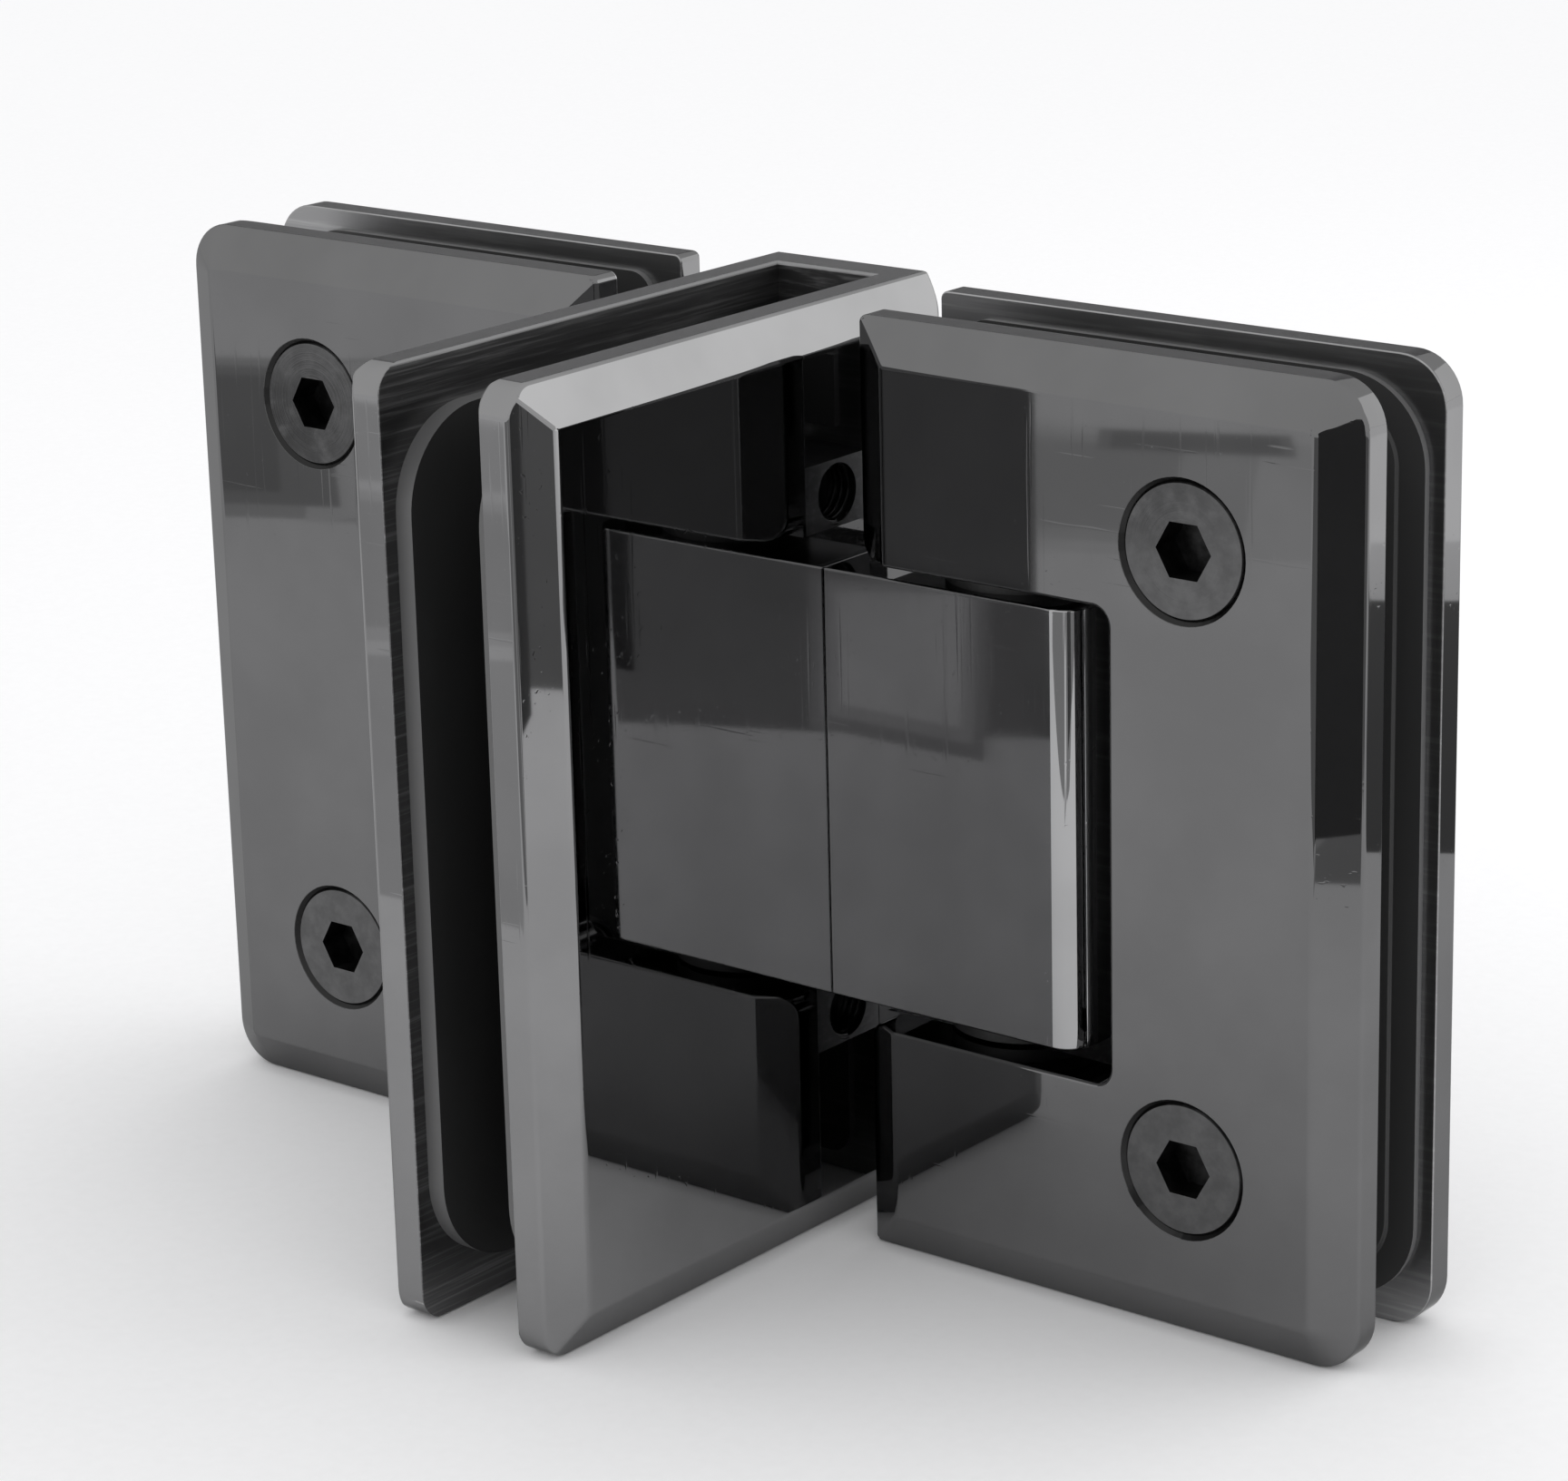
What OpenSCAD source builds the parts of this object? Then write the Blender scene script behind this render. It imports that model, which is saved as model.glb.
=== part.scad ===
// Three-way glass shower hinge: a fixed panel clamp with a door leaf on each side of it.
// The leaves lie along X, the fixed panel's channel runs towards -Y, and Z is up.
// The origin is where the middle planes of the three glass slots cross, at half height.

/* [Overall] */
// Height of the channel and of every clamp plate
height = 90; // [84:1:110]
// Length of the sloped edge, measured on the plate's face
bevel_run = 4; // [2.5:0.1:4]
// Depth of the sloped edge, measured through the plate
bevel_depth = 2.1; // [1:0.1:2.4]
// Thickness of the glass that the gaskets leave room for
glass_t = 8; // [6:0.5:8.5]

/* [Centre channel] */
// Width of the slot for the fixed panel and its gaskets
channel_slot = 11.7; // [10:0.1:14]
// Depth of that slot, from the mouth to its closed end
channel_slot_depth = 55.2; // [48:0.1:70]
// Thickness of each side wall
channel_wall = 5.3; // [4:0.1:7]
// Thickness of the closed end
channel_back = 4.05; // [3:0.05:8]
// From the closed end of the slot to the middle plane of the leaves
slot_end_offset = 7.4; // [6.6:0.1:9]
// Corner radius of the walls at the mouth
channel_corner_r = 3; // [1:0.1:6]
// Radius of the two upright edges at the back
channel_back_r = 1.8; // [0.5:0.1:2.5]
// Chamfer along the slot's top and bottom edges
slot_chamfer = 0.3; // [0.2:0.1:0.8]

/* [Leaf plates] */
// Width of a plate, along the door
plate_w = 54; // [50:0.5:66]
// Thickness of a plate
plate_t = 5; // [4:0.1:6]
// Clear space between the front and the rear plate
leaf_slot = 9.4; // [9:0.1:12]
// Gap between the channel wall and the leaf's near end
leaf_gap = 4.45; // [3:0.05:7]
// Corner radius at the plate's far end
plate_corner_r = 4.6; // [4.1:0.1:6]
// Corner radius at the plate's near end
near_corner_r = 0.8; // [0.4:0.1:3]
// Radius where the near end turns into the window
arm_corner_r = 2.2; // [1:0.1:3]
// Radius of the window's inner corners
window_corner_r = 1.8; // [0.5:0.1:3]
// Gap above and below the knuckle
window_gap = 1.55; // [1:0.05:2.5]
// Gap between the knuckle and the end of the window
window_end_gap = 4.85; // [4.5:0.05:8]

/* [Pin bosses] */
// Height of each boss that holds the pin
boss_h = 6.5; // [6:0.1:10]
// Wall left round the pin on the boss's far side
boss_wall = 3.5; // [2:0.1:5]
// Radius of the boss's far corners
boss_r = 2; // [0.5:0.1:3]

/* [Knuckle] */
// Height of the knuckle
knuckle_h = 41.7; // [38:0.1:46]
// Thickness of the knuckle, through the door
knuckle_t = 16; // [15:0.1:18]
// Length of the knuckle, from the channel wall
knuckle_len = 28.35; // [27:0.05:32]
// Radius of the knuckle's outer upright edges
knuckle_r = 2.7; // [1:0.1:4]
// From the channel wall to the pin's axis
pin_reach = 16.85; // [16.5:0.05:18]

/* [Pin and bushes] */
// Diameter of the pin
pin_d = 8; // [6:0.1:8.4]
// Across the flats of the pin's middle
pin_flats = 6.4; // [5:0.1:7]
// Length of the pin's flats
pin_flat_len = 22; // [21:0.5:24]
// Chamfer on the pin's ends
pin_chamfer = 0.5; // [0.2:0.1:1]
// Radial running clearance between pin and bush
pin_fit = 0.05; // [0.02:0.01:0.1]
// Wall of a bush
bush_wall = 1.4; // [1:0.1:1.6]
// How far a bush reaches into the knuckle
bush_depth = 8; // [5:0.1:8.5]
// Diameter of a bush's flange
flange_d = 14; // [13:0.1:15]
// Clearance between flange and boss
flange_gap = 0.3; // [0.2:0.05:0.5]

/* [Centring plungers] */
// Diameter of a plunger
plunger_d = 7.9; // [6:0.1:8]
// Length of a plunger's body
plunger_len = 5; // [4:0.1:5.5]
// Height of each plunger above and below the middle
plunger_z = 6.2; // [5:0.1:6.5]
// Length of the spigot that centres the spring
spigot_len = 1.4; // [0.5:0.1:2]
// Clearance between plunger and turning pin
plunger_gap = 0.1; // [0.05:0.05:0.3]
// Clearance round a plunger spring, in its bore and on its spigot
spring_gap = 0.3; // [0.2:0.05:0.4]
// Wire of a plunger spring
spring_wire = 1; // [0.6:0.1:1.2]
// Turns of a plunger spring
spring_turns = 4; // [3:0.5:4.5]

/* [Gaskets] */
// Margin between a leaf gasket and the plate's far end
gasket_far_margin = 1.6; // [0.5:0.1:4]
// Margin between a leaf gasket and the plate's near end
gasket_near_margin = 3.3; // [1:0.1:5]
// Margin above and below a leaf gasket
gasket_top_margin = 2; // [1:0.1:5]
// Radius of a leaf gasket's far corners
gasket_far_r = 8; // [3:0.1:9]
// Radius of a leaf gasket's near corners
gasket_near_r = 2.5; // [1:0.1:4]
// Clearance between a leaf gasket and the bosses and window
gasket_clearance = 1.8; // [1:0.1:3]
// Margin between a channel gasket and the mouth
channel_gasket_front = 1.5; // [1:0.1:5]
// Margin between a channel gasket and the closed end
channel_gasket_back = 2.8; // [1:0.1:5]
// Margin above and below a channel gasket
channel_gasket_top = 4.6; // [2:0.1:8]
// Radius of a channel gasket's front corners
channel_gasket_r = 9; // [3:0.1:10]

/* [Fasteners] */
// From the leaf's near end to the clamp screws
screw_reach = 36.5; // [36:0.1:40]
// Distance between the two clamp screws
screw_pitch = 57.2; // [54:0.1:62]
// Thread diameter of a clamp screw
screw_d = 6; // [5:0.5:6]
// Head diameter of a clamp screw
screw_head_d = 12.7; // [11:0.1:13]
// Across the flats of a clamp screw's socket
screw_socket = 5; // [3:0.5:5]
// Length of a clamp screw, head included
screw_len = 17; // [16:0.5:17.5]
// Depth of a clamp screw's tapped hole in the rear plate
tapped_depth = 3.6; // [3.2:0.1:3.8]
// Thread diameter of a pin grub screw
grub_d = 5.6; // [4:0.1:5.6]
// Length of a pin grub screw
grub_len = 5; // [4:0.1:6]
// Across the flats of a grub screw's socket
grub_socket = 3; // [2:0.5:3]
// Thread diameter of a knuckle screw
knuckle_screw_d = 5; // [4:0.5:5]
// Head diameter of a knuckle screw
knuckle_screw_head_d = 9.4; // [8:0.1:10]
// Length of a knuckle screw, head included
knuckle_screw_len = 10; // [9:0.5:11]
// Across the flats of a knuckle screw's socket
knuckle_screw_socket = 3; // [2:0.5:3]
// Distance between a knuckle's two screws
knuckle_screw_pitch = 31; // [28:0.5:33]
// Radial clearance round a screw's shank
shank_gap = 0.3; // [0.2:0.05:0.5]
// How far a screw's head is sunk below the face
head_sink = 0.3; // [0.1:0.05:0.4]
// Rim that takes the sharp edge off a screw's head
head_rim = 0.15; // [0.05:0.05:0.3]
// Radial clearance of parts that sit still in their holes
seat_gap = 0.05; // [0.02:0.01:0.1]

/* [Hidden] */
$fn = 64;
// Overshoot that keeps a cut clear of the faces it passes
over = 1;
// Polished plating, milled metal, gasket, nylon and steel
plate_colour = [0.27, 0.27, 0.28];
gasket_colour = [0.16, 0.16, 0.17];
nylon_colour = [0.82, 0.82, 0.80];
steel_colour = [0.62, 0.63, 0.65];
// Half of the slots and of the heights
half_h = height / 2;
leaf_half = leaf_slot / 2;
channel_half = channel_slot / 2;
knuckle_half = knuckle_h / 2;
window_half = knuckle_half + window_gap;
boss_top = window_half + boss_h;
boss_mid = window_half + boss_h / 2;
// The channel's outer faces
channel_out = channel_half + channel_wall;
channel_rear = slot_end_offset + channel_back;
channel_len = channel_slot_depth + channel_back;
channel_mouth = slot_end_offset - channel_slot_depth;
// The leaf, measured from its own near end
leaf_start = channel_out + leaf_gap;
pin_x = channel_out + pin_reach;
pin_local = pin_x - leaf_start;
window_len = knuckle_len + window_end_gap - leaf_gap;
boss_len = pin_local + pin_d / 2 + boss_wall;
plate_land = plate_t - bevel_depth;
// What the glass leaves for a gasket on each side of it
leaf_gasket_t = (leaf_slot - glass_t) / 2;
channel_gasket_t = (channel_slot - glass_t) / 2;
// Depth of a countersink with a right angle
head_h = (screw_head_d - screw_d) / 2;
knuckle_head_h = (knuckle_screw_head_d - knuckle_screw_d) / 2;
// The bush, the plunger and the spring in the knuckle
bush_d = pin_d + 2 * pin_fit + 2 * bush_wall;
flange_t = window_gap - flange_gap;
bore_clear = 0.3;
plunger_nose = pin_reach - pin_d / 2 - plunger_gap;
plunger_tail = plunger_nose - plunger_len;
spring_d = plunger_d + 2 * (seat_gap - spring_gap);
spigot_d = spring_d - 2 * (spring_wire + spring_gap);
knuckle_tap_depth = knuckle_screw_len + head_sink - channel_wall + over;
// Facets of the spring's wire and of one turn of it
wire_sides = 8;
turn_steps = 16;

// The left side is the right side seen in a mirror
module left() {
    mirror([1, 0, 0]) children();
}

// Does the same thing above and below the middle
module both_ends() {
    children();
    mirror([0, 0, 1]) children();
}

// Stands a shape drawn on the plate's face upright, with its thickness towards -Y
module on_leaf_front() {
    translate([leaf_start, -leaf_half, 0]) rotate([90, 0, 0]) children();
}

// The same for the rear plate, with its thickness towards +Y
module on_leaf_rear() {
    mirror([0, 1, 0]) on_leaf_front() children();
}

// What a rounded corner takes away from the square corner at the origin
module corner_waste(r, depth) {
    translate([0, 0, -over])
        linear_extrude(depth + 2 * over)
            difference() {
                translate([-over, -over]) square(r + over);
                translate([r, r]) circle(r);
            }
}

// A rectangle from x = 0, with one radius at its near corners and one at its far corners
module round_sheet(w, h, near_r, far_r) {
    translate([near_r, -h / 2]) square([w - near_r - far_r, h]);
    translate([0, near_r - h / 2]) square([near_r + 0.01, h - 2 * near_r]);
    translate([w - far_r - 0.01, far_r - h / 2]) square([far_r + 0.01, h - 2 * far_r]);
    for (side = [-1, 1]) {
        translate([near_r, side * (h / 2 - near_r)]) circle(near_r);
        translate([w - far_r, side * (h / 2 - far_r)]) circle(far_r);
    }
}

// A plate with sloped outer edges: x = 0 is its near end, the far end has round corners. The slopes
// turn round a large corner as a cone, and meet in a mitre at a corner smaller than their run
module bevelled_plate(w, h, t, land, run, far_r, near_bevel) {
    conical = far_r > run + 0.05;
    near = near_bevel ? run : 0;
    near_land = near_bevel ? land : 0;
    difference() {
        intersection() {
            translate([0, h / 2, 0])
                rotate([90, 0, 0])
                    linear_extrude(h)
                        polygon([[0, 0], [w, 0], [w, land], [w - run, t], [near, t], [0, near_bevel ? land : t]]);
            rotate([90, 0, 90])
                linear_extrude(w)
                    polygon([
                        [-h / 2, 0], [h / 2, 0], [h / 2, land],
                        [h / 2 - run, t], [run - h / 2, t], [-h / 2, land]
                    ]);
        }
        for (side = [-1, 1])
            if (conical)
                translate([w - far_r, side > 0 ? h / 2 - far_r : -h / 2 - over, -over])
                    cube([far_r + over, far_r + over, t + 2 * over]);
            else
                translate([w, side * h / 2, 0])
                    mirror([1, 0, 0]) mirror([0, side > 0 ? 1 : 0, 0]) corner_waste(far_r, t);
    }
    if (conical)
        for (side = [-1, 1])
            translate([w - far_r, side * (h / 2 - far_r), 0])
                rotate_extrude()
                    polygon([[0, 0], [far_r, 0], [far_r, land], [far_r - run, t], [0, t]]);
}

// The opening that a leaf plate leaves round the knuckle, from its near end inwards
module window_outline() {
    r = window_corner_r;
    translate([-over, -window_half]) square([window_len + over - r, 2 * window_half]);
    translate([-over, r - window_half]) square([window_len + over, 2 * window_half - 2 * r]);
    for (side = [-1, 1])
        translate([window_len - r, side * (window_half - r)]) circle(r);
}

// A leaf plate lying on its inner face, without its screw holes
module leaf_plate() {
    difference() {
        bevelled_plate(plate_w, height, plate_t, plate_land, bevel_run, plate_corner_r, true);
        translate([0, 0, -over]) linear_extrude(plate_t + 2 * over) window_outline();
        for (side = [0, 1])
            mirror([0, side, 0]) {
                translate([0, window_half, 0]) corner_waste(arm_corner_r, plate_t);
                translate([0, half_h, 0]) mirror([0, 1, 0]) corner_waste(near_corner_r, plate_t);
            }
    }
}

// One boss that holds an end of the pin, standing on the inner face of the front plate
module pin_boss() {
    translate([0, window_half, -leaf_slot])
        linear_extrude(leaf_slot + 0.5) {
            square([boss_len - boss_r, boss_h]);
            translate([0, 0]) square([boss_len, boss_h - boss_r]);
            translate([boss_len - boss_r, boss_h - boss_r]) circle(boss_r);
        }
}

// Places of the two clamp screws on a leaf plate
module at_clamp_screws() {
    for (side = [-1, 1])
        translate([screw_reach, side * screw_pitch / 2, 0]) children();
}

module front_plate() {
    color(plate_colour)
        on_leaf_front()
            difference() {
                union() {
                    leaf_plate();
                    pin_boss();
                    mirror([0, 1, 0]) pin_boss();
                }
                at_clamp_screws() {
                    translate([0, 0, -over]) cylinder(h = plate_t + 2 * over, d = screw_d + 2 * shank_gap);
                    countersink(plate_t, screw_head_d + 2 * head_sink, head_h + head_sink);
                }
                translate([pin_local, -boss_top - over, -leaf_half])
                    rotate([-90, 0, 0])
                        cylinder(h = 2 * boss_top + 2 * over, d = pin_d + 2 * seat_gap);
                for (side = [-1, 1])
                    translate([-over, side * boss_mid, -leaf_half])
                        rotate([0, 90, 0])
                            cylinder(h = pin_local + over, d = grub_d + 2 * seat_gap);
            }
}

// A right-angled countersink whose mouth is at the given height
module countersink(top, mouth_d, depth) {
    translate([0, 0, top - depth]) cylinder(h = depth, d1 = mouth_d - 2 * depth, d2 = mouth_d);
    translate([0, 0, top - 0.01]) cylinder(h = over, d = mouth_d);
}

module rear_plate() {
    color(plate_colour)
        on_leaf_rear()
            difference() {
                leaf_plate();
                at_clamp_screws()
                    translate([0, 0, -over]) cylinder(h = tapped_depth + over, d = screw_d + 2 * seat_gap);
            }
}

// A leaf gasket: a sheet cut back round the bosses and the window, with two screw holes
module leaf_gasket_sheet() {
    cut_len = max(window_len, boss_len) + gasket_clearance - gasket_near_margin;
    cut_half = boss_top + gasket_clearance;
    linear_extrude(leaf_gasket_t)
        translate([gasket_near_margin, 0])
            difference() {
                round_sheet(
                    plate_w - gasket_near_margin - gasket_far_margin,
                    height - 2 * gasket_top_margin, gasket_near_r, gasket_far_r
                );
                translate([-over, -cut_half]) square([cut_len + over, 2 * cut_half]);
                for (side = [-1, 1])
                    translate([screw_reach - gasket_near_margin, side * screw_pitch / 2])
                        circle(d = screw_d + 2);
            }
}

module front_gasket() {
    color(gasket_colour) translate([0, leaf_gasket_t, 0]) on_leaf_front() leaf_gasket_sheet();
}

module rear_gasket() {
    color(gasket_colour) translate([0, -leaf_gasket_t, 0]) on_leaf_rear() leaf_gasket_sheet();
}

// A countersunk screw with a hex socket, its head's face at z = 0 and its shank downwards
module countersunk_screw(len, d, head_d, socket, socket_depth) {
    cone_h = (head_d - d) / 2;
    tip = 0.6;
    difference() {
        rotate_extrude()
            polygon([
                [0, 0], [head_d / 2 - 2 * head_rim, 0], [head_d / 2 - head_rim, -head_rim],
                [d / 2, -cone_h],
                [d / 2, tip - len], [d / 2 - tip, -len], [0, -len]
            ]);
        translate([0, 0, -socket_depth])
            cylinder(h = socket_depth + over, d = socket / cos(30), $fn = 6);
    }
}

module clamp_screws() {
    color(plate_colour)
        on_leaf_front()
            at_clamp_screws()
                translate([0, 0, plate_t - head_sink])
                    countersunk_screw(screw_len, screw_d, screw_head_d, screw_socket, 3);
}

// Grub screws that hold the pin, sunk in the tapped holes at the leaf's near end
module pin_grub_screws() {
    color(steel_colour)
        for (side = [-1, 1])
            translate([pin_x - pin_d / 2 - seat_gap, 0, side * boss_mid])
                rotate([0, -90, 0])
                    difference() {
                        rotate_extrude()
                            polygon([
                                [0, 0], [1.6, 0], [grub_d / 2, grub_d / 2 - 1.6],
                                [grub_d / 2, grub_len], [0, grub_len]
                            ]);
                        translate([0, 0, grub_len - 2.2])
                            cylinder(h = 2.2 + over, d = grub_socket / cos(30), $fn = 6);
                    }
}

// The pin turns with the leaf; four flats at its middle face the plungers
module pin() {
    r = pin_d / 2;
    color(steel_colour)
        translate([pin_x, 0, 0])
            difference() {
                rotate_extrude()
                    polygon([
                        [0, -boss_top], [r - pin_chamfer, -boss_top], [r, pin_chamfer - boss_top],
                        [r, boss_top - pin_chamfer], [r - pin_chamfer, boss_top], [0, boss_top]
                    ]);
                for (turn = [0, 90, 180, 270])
                    rotate([0, 0, turn])
                        translate([pin_flats / 2, -r - over, -pin_flat_len / 2])
                            cube([r, 2 * (r + over), pin_flat_len]);
            }
}

// Plan of the knuckle: square against the channel, round at its outer edges
module knuckle_plan() {
    r = knuckle_r;
    translate([0, -knuckle_t / 2]) square([knuckle_len - r, knuckle_t]);
    translate([0, r - knuckle_t / 2]) square([knuckle_len, knuckle_t - 2 * r]);
    for (side = [-1, 1])
        translate([knuckle_len - r, side * (knuckle_t / 2 - r)]) circle(r);
}

module knuckle() {
    color(plate_colour)
        translate([channel_out, 0, 0])
            difference() {
                translate([0, 0, -knuckle_half]) linear_extrude(knuckle_h) knuckle_plan();
                translate([pin_reach, 0, -knuckle_half - over])
                    cylinder(h = knuckle_h + 2 * over, d = pin_d + 2 * bore_clear);
                for (side = [-1, 1]) {
                    translate([pin_reach, 0, side * knuckle_half])
                        mirror([0, 0, side > 0 ? 1 : 0])
                            translate([0, 0, -over])
                                cylinder(h = bush_depth + over, d = bush_d + 2 * seat_gap);
                    translate([-over, 0, side * plunger_z])
                        rotate([0, 90, 0])
                            cylinder(h = pin_reach + over, d = plunger_d + 2 * seat_gap);
                    translate([-over, 0, side * knuckle_screw_pitch / 2])
                        rotate([0, 90, 0])
                            cylinder(h = knuckle_tap_depth + over, d = knuckle_screw_d + 2 * seat_gap);
                }
            }
}

// A flanged bush, its flange lying on the knuckle's top
module upper_bush() {
    inner = pin_d / 2 + pin_fit;
    color(nylon_colour)
        translate([pin_x, 0, knuckle_half])
            rotate_extrude()
                polygon([
                    [inner, -bush_depth + 0.1], [bush_d / 2, -bush_depth + 0.1], [bush_d / 2, 0],
                    [flange_d / 2, 0], [flange_d / 2, flange_t], [inner, flange_t]
                ]);
}

module lower_bush() {
    mirror([0, 0, 1]) upper_bush();
}

// Two plungers that press on the pin's flats, each with a spigot for its spring
module plungers() {
    color(steel_colour)
        both_ends()
            translate([channel_out + plunger_tail, 0, plunger_z])
                rotate([0, 90, 0])
                    rotate_extrude()
                        polygon([
                            [0, -spigot_len], [spigot_d / 2, -spigot_len], [spigot_d / 2, 0],
                            [plunger_d / 2, 0], [plunger_d / 2, plunger_len - 0.5],
                            [plunger_d / 2 - 0.5, plunger_len], [0, plunger_len]
                        ]);
}

// Points of one ring of the spring's wire, at the given angle along the coil
function coil_ring(angle, pitch_r, rise, wire_r) = [
    for (k = [0 : wire_sides - 1])
        let (w = 360 * k / wire_sides)
        [
            (pitch_r + wire_r * cos(w)) * cos(angle),
            (pitch_r + wire_r * cos(w)) * sin(angle),
            rise + wire_r * sin(w)
        ]
];

// A compression spring along Z, from z = 0 to z = length
module coil_spring(length, outer_d, wire_d, turns) {
    steps = round(turns * turn_steps);
    wire_r = wire_d / 2;
    pitch_r = outer_d / 2 - wire_r;
    rise = length - wire_d;
    points = [
        for (i = [0 : steps])
            each coil_ring(360 * turns * i / steps, pitch_r, wire_r + rise * i / steps, wire_r)
    ];
    sides = [
        for (i = [0 : steps - 1])
            for (k = [0 : wire_sides - 1])
                let (a = i * wire_sides + k)
                let (b = i * wire_sides + (k + 1) % wire_sides)
                [a, b, b + wire_sides, a + wire_sides]
    ];
    first = [for (k = [wire_sides - 1 : -1 : 0]) k];
    last = [for (k = [0 : wire_sides - 1]) steps * wire_sides + k];
    polyhedron(points, concat(sides, [first], [last]));
}

module plunger_springs() {
    color(steel_colour)
        both_ends()
            translate([channel_out + seat_gap, 0, plunger_z])
                rotate([0, 90, 0])
                    coil_spring(plunger_tail - 2 * seat_gap, spring_d, spring_wire, spring_turns);
}

// Screws that hold a knuckle, put in from the slot with their heads flush in its wall
module knuckle_screws() {
    color(steel_colour)
        both_ends()
            translate([channel_half + head_sink, 0, knuckle_screw_pitch / 2])
                rotate([0, -90, 0])
                    countersunk_screw(
                        knuckle_screw_len, knuckle_screw_d, knuckle_screw_head_d, knuckle_screw_socket, 2
                    );
}

// Plan of the channel without its slot, with round upright edges at the back
module channel_plan() {
    r = channel_back_r;
    translate([-channel_out, channel_mouth - over])
        square([2 * channel_out, channel_len + over - r]);
    translate([r - channel_out, channel_mouth - over])
        square([2 * (channel_out - r), channel_len + over]);
    for (side = [-1, 1])
        translate([side * (channel_out - r), channel_rear - r]) circle(r);
}

// The left half of the channel as a thick bevelled plate, from the middle plane outwards
module channel_half_block() {
    translate([0, channel_rear, 0])
        rotate([90, 0, -90])
            bevelled_plate(
                channel_len, height, channel_out, channel_out - bevel_depth,
                bevel_run, channel_corner_r, false
            );
}

// The chamfer along the slot's top edge, as a low frustum above the slot
module slot_edge_waste() {
    c = slot_chamfer + over;
    intersection() {
        translate([0, slot_end_offset + c, half_h - slot_chamfer])
            rotate([90, 0, 0])
                linear_extrude(channel_slot_depth + 2 * c)
                    polygon([[-channel_half, 0], [channel_half, 0], [channel_half + c, c], [-channel_half - c, c]]);
        translate([-channel_half - c, 0, half_h - slot_chamfer])
            rotate([90, 0, 90])
                linear_extrude(channel_slot + 2 * c)
                    polygon([
                        [channel_mouth - over, 0], [slot_end_offset, 0],
                        [slot_end_offset + c, c], [channel_mouth - over, c]
                    ]);
    }
}

module centre_channel() {
    color(plate_colour)
        difference() {
            intersection() {
                translate([0, 0, -half_h]) linear_extrude(height) channel_plan();
                union() {
                    channel_half_block();
                    mirror([1, 0, 0]) channel_half_block();
                }
            }
            translate([-channel_half, channel_mouth - over, -half_h - over])
                cube([channel_slot, channel_slot_depth + over, height + 2 * over]);
            both_ends() slot_edge_waste();
            for (side = [0, 1])
                mirror([side, 0, 0]) both_ends()
                    translate([channel_half, 0, knuckle_screw_pitch / 2])
                        rotate([0, -90, 0]) {
                            mirror([0, 0, 1])
                                cylinder(h = channel_wall + over, d = knuckle_screw_d + 2 * shank_gap);
                            countersink(0, knuckle_screw_head_d + 2 * head_sink, knuckle_head_h + head_sink);
                        }
        }
}

// The gasket on the right wall of the slot
module channel_gasket() {
    w = channel_slot_depth - channel_gasket_front - channel_gasket_back;
    color(gasket_colour)
        translate([channel_half, slot_end_offset - channel_gasket_back, 0])
            rotate([90, 0, -90])
                linear_extrude(channel_gasket_t)
                    round_sheet(w, height - 2 * channel_gasket_top, gasket_near_r, channel_gasket_r);
}

centre_channel();
channel_gasket();  // channel_gasket_right
left() channel_gasket();  // channel_gasket_left
knuckle();  // right_knuckle
knuckle_screws();  // right_knuckle_screws
upper_bush();  // right_upper_bush
lower_bush();  // right_lower_bush
plungers();  // right_plungers
plunger_springs();  // right_plunger_springs
left() knuckle();  // left_knuckle
left() knuckle_screws();  // left_knuckle_screws
left() upper_bush();  // left_upper_bush
left() lower_bush();  // left_lower_bush
left() plungers();  // left_plungers
left() plunger_springs();  // left_plunger_springs
front_plate();  // right_front_plate
rear_plate();  // right_rear_plate
front_gasket();  // right_front_gasket
rear_gasket();  // right_rear_gasket
pin();  // right_pin
pin_grub_screws();  // right_pin_grub_screws
clamp_screws();  // right_clamp_screws
left() front_plate();  // left_front_plate
left() rear_plate();  // left_rear_plate
left() front_gasket();  // left_front_gasket
left() rear_gasket();  // left_rear_gasket
left() pin();  // left_pin
left() pin_grub_screws();  // left_pin_grub_screws
left() clamp_screws();  // left_clamp_screws
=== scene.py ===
"""Looks of a three-way glass shower hinge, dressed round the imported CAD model.

The script loads the CAD model as a fixed frame, gives each node its finish, adds the screw threads, lights the
hinge in a plain white studio and puts the camera at the photograph's angle.
"""

import logging
import math
from dataclasses import dataclass
from enum import Enum
from functools import partial
from typing import Any, Callable, Iterable, Sequence

import bmesh
import bpy
from mathutils import Matrix, Vector

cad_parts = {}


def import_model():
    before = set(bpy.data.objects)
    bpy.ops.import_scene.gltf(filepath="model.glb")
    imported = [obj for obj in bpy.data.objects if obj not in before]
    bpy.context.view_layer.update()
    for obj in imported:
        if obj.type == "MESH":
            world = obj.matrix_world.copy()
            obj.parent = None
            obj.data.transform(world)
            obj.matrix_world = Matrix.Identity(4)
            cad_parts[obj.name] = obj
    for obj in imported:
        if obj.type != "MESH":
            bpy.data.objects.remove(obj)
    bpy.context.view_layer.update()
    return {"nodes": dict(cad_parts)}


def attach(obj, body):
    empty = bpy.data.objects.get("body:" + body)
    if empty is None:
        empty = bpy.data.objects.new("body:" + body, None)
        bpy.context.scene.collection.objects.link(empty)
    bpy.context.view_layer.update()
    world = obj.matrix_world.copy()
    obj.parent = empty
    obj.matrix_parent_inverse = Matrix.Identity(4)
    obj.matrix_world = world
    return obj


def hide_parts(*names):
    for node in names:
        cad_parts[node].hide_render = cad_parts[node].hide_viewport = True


LOG = logging.getLogger("shower_hinge")
MM = 0.001
SLACK = 0.1 * MM  # how far a point may lie from the plane that it is tested against
CARD_Z = -44.6  # height of the lowest studio card, in millimetres
CARD_STEP = 0.14  # how much smaller each layer of a soft card is
CARD_LAYER = 0.1  # how far the layers lie apart
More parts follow.
